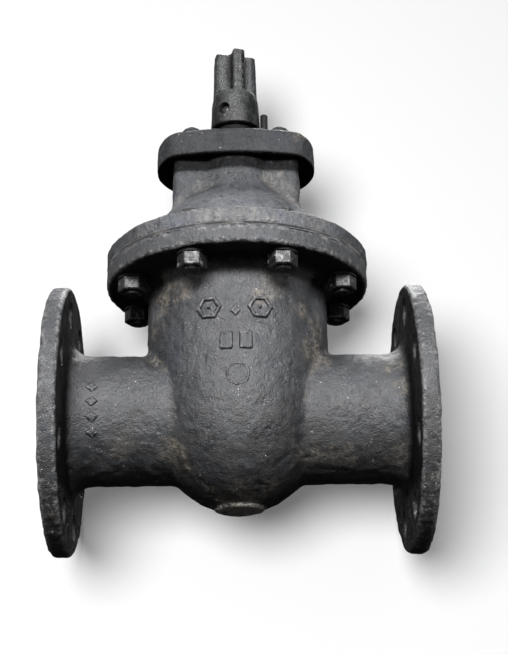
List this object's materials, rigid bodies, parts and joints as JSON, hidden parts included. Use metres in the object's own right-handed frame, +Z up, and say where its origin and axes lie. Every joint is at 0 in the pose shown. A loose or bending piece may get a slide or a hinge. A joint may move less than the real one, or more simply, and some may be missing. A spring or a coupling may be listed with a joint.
{
  "type": "gate valve",
  "caption": "Flanged wedge gate valve with a non-rising stem and a ribbed drive cap; turning the cap lowers or lifts the gate across the bore.",
  "frame": {"origin": "where the bore axis meets the stem axis, midway between the pipe flange faces", "axes": "+X along the bore, +Z up the stem towards the drive cap, -Y the front"},
  "size_m": [0.28, 0.2004, 0.411],
  "materials": {
    "body_casting": "old dark grey paint, rough cast",
    "bonnet_casting": "old dark grey paint, rough cast",
    "drive_casting": "dark worn cast",
    "gate_casting": "bare cast, dulled",
    "bronze": "machined bronze",
    "stem_steel": "turned stainless steel",
    "fasteners": "dark worn zinc, bright corners",
    "gasket": "black rubber",
    "packing": "greased packing"
  },
  "bodies": {
    "casing": {"valve_body": "body_casting", "body_seat_ring_left": "bronze", "body_seat_ring_right": "bronze", "bonnet": "bonnet_casting", "bonnet_gasket": "gasket", "bonnet_bolts": "fasteners", "bonnet_washers": "fasteners", "bonnet_nuts": "fasteners", "stem_bush": "bronze", "thrust_washer_lower": "bronze", "thrust_washer_upper": "bronze", "cover_plate": "bonnet_casting", "cover_gasket": "gasket", "cover_studs": "fasteners", "cover_nuts": "fasteners", "packing_rings": "packing", "gland_follower": "gate_casting", "gland_studs": "fasteners", "gland_nuts": "fasteners", "dust_seal": "gasket"},
    "drive": {"stem": "stem_steel", "stem_cap": "drive_casting", "cap_set_screw": "fasteners"},
    "gate": {"gate_wedge": "gate_casting", "gate_face_ring_left": "bronze", "gate_face_ring_right": "bronze", "stem_nut": "bronze"}
  },
  "joints": [
    {"name": "gate_lift", "type": "slide", "parent": "casing", "child": "gate", "axis": [0, 0, 1], "range_m": [-0.09, 0]},
    {"name": "stem_turn", "type": "hinge", "parent": "casing", "child": "drive", "pos_m": [0, 0, 0], "axis": [0, 0, 1], "range_deg": [-5401, 0]}
  ],
  "couplings": [
    {"joint": "stem_turn", "follows": "gate_lift", "rad_per_m": 1047.2}
  ]
}
